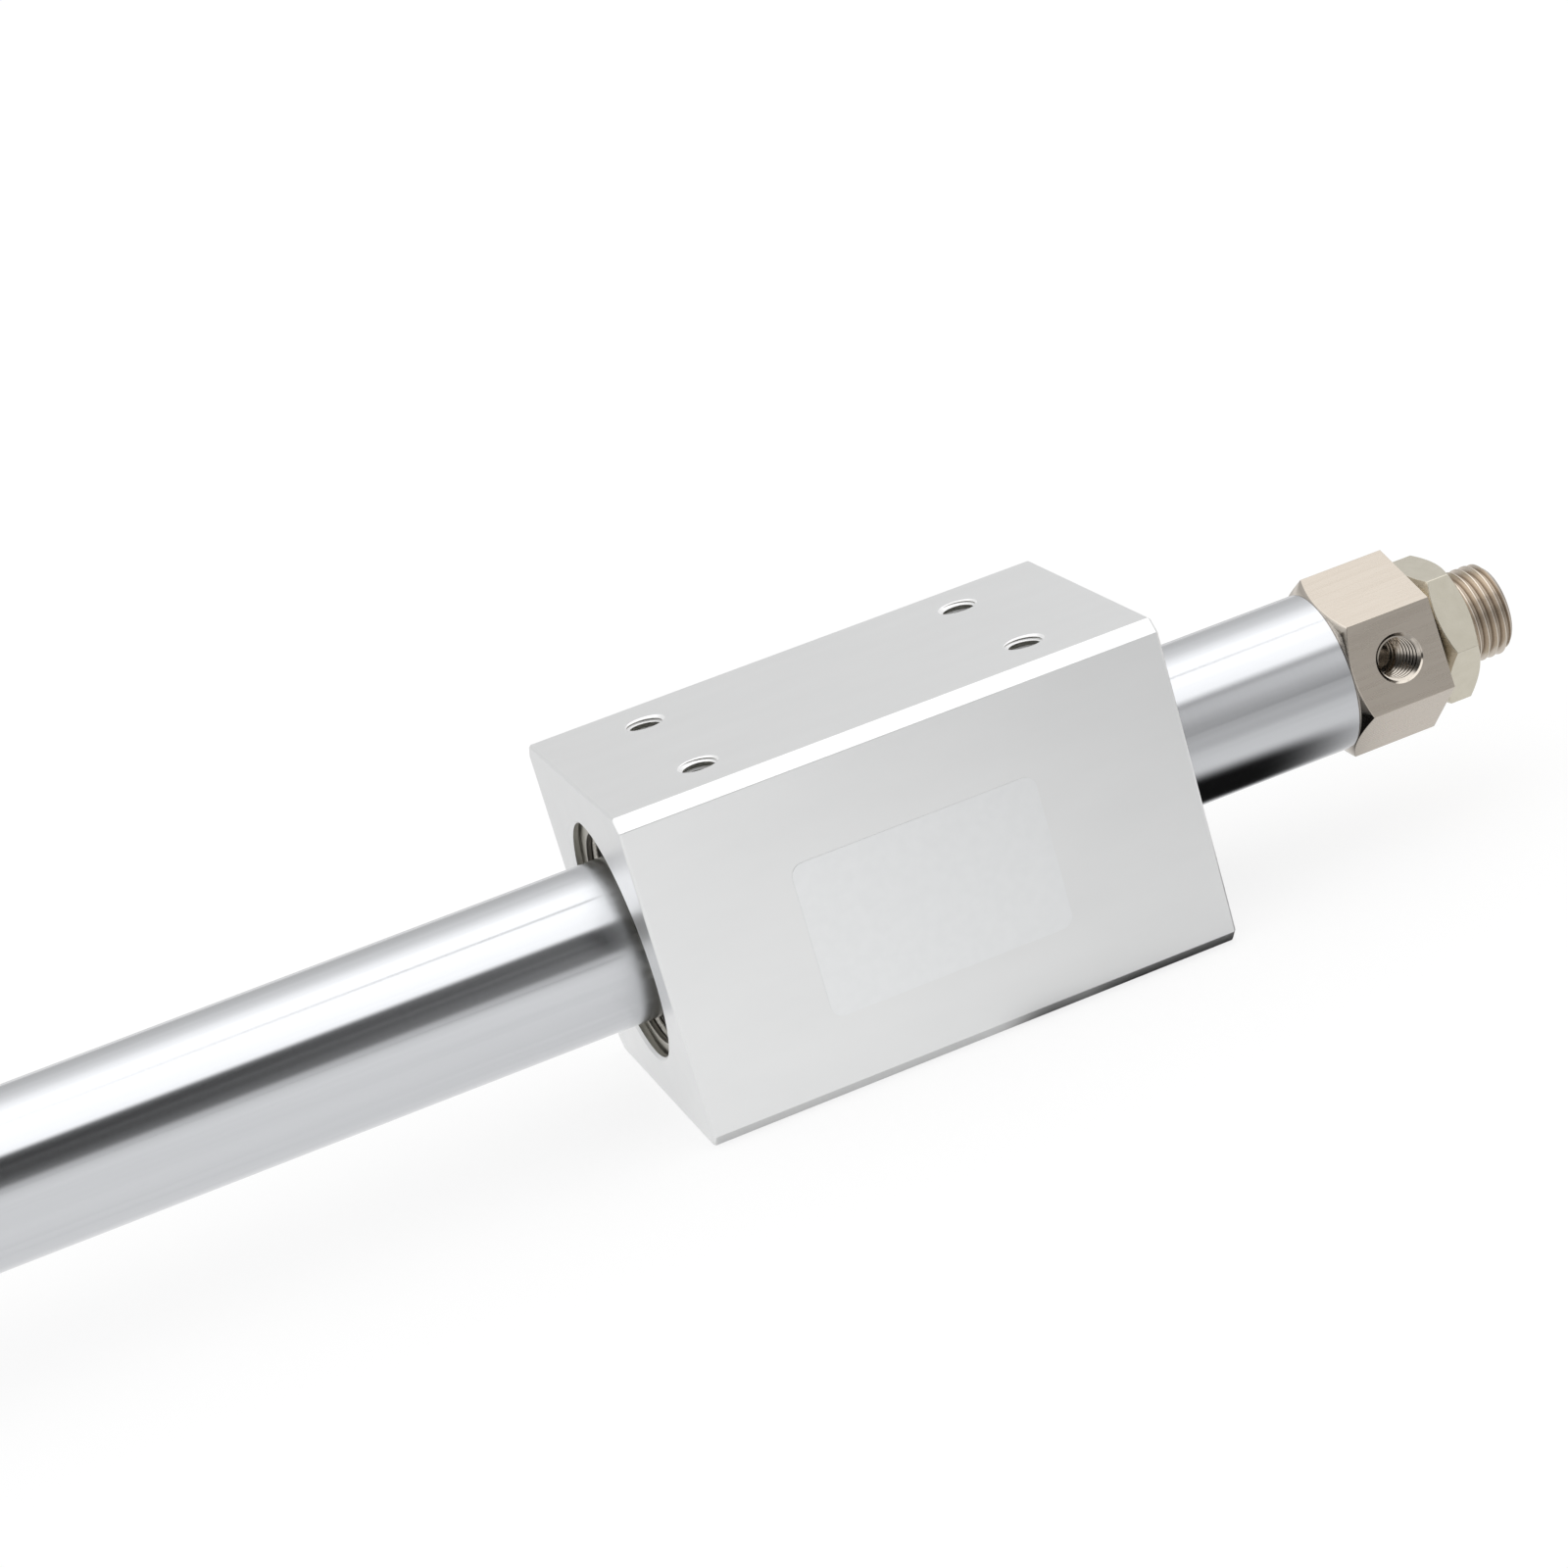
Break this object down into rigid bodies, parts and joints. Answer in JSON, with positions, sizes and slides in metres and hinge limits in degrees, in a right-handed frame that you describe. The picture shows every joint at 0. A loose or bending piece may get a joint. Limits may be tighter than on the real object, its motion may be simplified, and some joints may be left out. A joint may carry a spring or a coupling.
{
  "type": "rodless pneumatic cylinder",
  "caption": "Magnetically coupled rodless air cylinder: a square slider block with tapped holes rides on a round tube between hexagonal end covers with threaded stubs and side air ports.",
  "frame": {"origin": "middle of the tube's axis, half-way between the two head covers", "axes": "+X along the tube towards the head cover that the slider stands nearer to, +Z out of the slider block's drilled face, the air ports face -Y"},
  "size_m": [0.403, 0.035, 0.035],
  "materials": {
    "drawn_stainless": "drawn and polished stainless tube, fine marks along its length",
    "nickel_plate": "electroless nickel on machined brass, warm satin",
    "nut_plate": "nickel plate on steel, slightly yellow satin",
    "anodised_aluminium": "clear satin anodised extrusion",
    "ring_steel": "spring steel, dark nickel",
    "spacer_steel": "turned steel, nickel plated",
    "seal_rubber": "matt black nitrile rubber",
    "bumper_urethane": "amber urethane",
    "grease_ring": "off-white resin soaked in grease",
    "guide_resin": "brown filled resin",
    "yoke_steel": "rolled steel, zinc chromated",
    "magnet_alloy": "plated rare-earth magnet",
    "shaft_steel": "ground stainless",
    "piston_brass": "turned brass"
  },
  "bodies": {
    "barrel": {"cylinder_tube": "drawn_stainless", "head_cover_left": "nickel_plate", "head_cover_right": "nickel_plate", "mounting_nut_left": "nut_plate", "mounting_nut_right": "nut_plate", "tube_gasket_left": "seal_rubber", "tube_gasket_right": "seal_rubber", "bumper_left": "bumper_urethane", "bumper_right": "bumper_urethane"},
    "magnet_carrier": {"slider_spacer_left": "spacer_steel", "slider_spacer_right": "spacer_steel", "scraper_left": "seal_rubber", "scraper_right": "seal_rubber", "lube_retainer_left": "grease_ring", "lube_retainer_right": "grease_ring", "slider_wear_ring_left": "guide_resin", "slider_wear_ring_right": "guide_resin", "outer_yoke_1": "yoke_steel", "outer_yoke_2": "yoke_steel", "outer_yoke_3": "yoke_steel", "outer_yoke_4": "yoke_steel", "outer_yoke_5": "yoke_steel", "outer_magnet_1": "magnet_alloy", "outer_magnet_2": "magnet_alloy", "outer_magnet_3": "magnet_alloy", "outer_magnet_4": "magnet_alloy"},
    "slider": {"slider_block": "anodised_aluminium", "retaining_ring_left": "ring_steel", "retaining_ring_right": "ring_steel"},
    "piston": {"piston_shaft": "shaft_steel", "piston_left": "piston_brass", "piston_right": "piston_brass", "piston_seal_left": "seal_rubber", "piston_seal_right": "seal_rubber", "piston_wear_ring_left": "guide_resin", "piston_wear_ring_right": "guide_resin", "inner_yoke_1": "yoke_steel", "inner_yoke_2": "yoke_steel", "inner_yoke_3": "yoke_steel", "inner_yoke_4": "yoke_steel", "inner_yoke_5": "yoke_steel", "inner_magnet_1": "magnet_alloy", "inner_magnet_2": "magnet_alloy", "inner_magnet_3": "magnet_alloy", "inner_magnet_4": "magnet_alloy"}
  },
  "joints": [
    {"name": "slider_slide", "type": "slide", "parent": "barrel", "child": "magnet_carrier", "axis": [1, 0, 0], "range_m": [-0.2805, 0.0195]},
    {"name": "slider_turn", "type": "hinge", "parent": "magnet_carrier", "child": "slider", "pos_m": [0.1305, 0, 0], "axis": [1, 0, 0], "continuous": true},
    {"name": "piston_slide", "type": "slide", "parent": "barrel", "child": "piston", "axis": [1, 0, 0], "range_m": [-0.2805, 0.0195]}
  ],
  "couplings": [
    {"joint": "piston_slide", "follows": "slider_slide", "ratio": 1}
  ]
}
